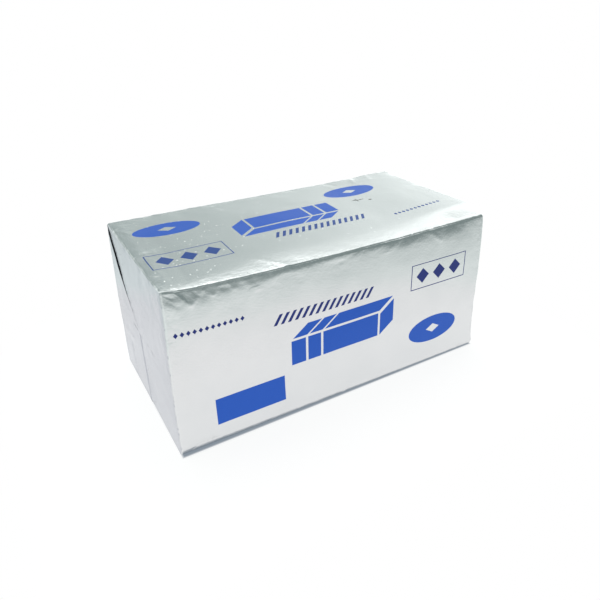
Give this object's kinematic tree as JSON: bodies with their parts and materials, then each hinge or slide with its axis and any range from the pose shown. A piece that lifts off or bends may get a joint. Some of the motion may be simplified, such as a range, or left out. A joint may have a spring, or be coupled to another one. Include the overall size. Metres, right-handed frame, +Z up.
{
  "type": "wrapped butter block",
  "caption": "Rectangular block of butter in a silver foil wrapper printed with plain blue shapes, its ends folded in like a parcel.",
  "frame": {"origin": "middle of the flat underside that the block rests on", "axes": "+X along the block's length, -Y out of the printed front, +Z up"},
  "size_m": [0.1298, 0.0644, 0.06],
  "materials": {
    "foil": "satin silver foil on paper, lightly creased, printed in blue ink"
  },
  "bodies": {
    "root": {"wrapped_block": "foil"}
  },
  "joints": []
}
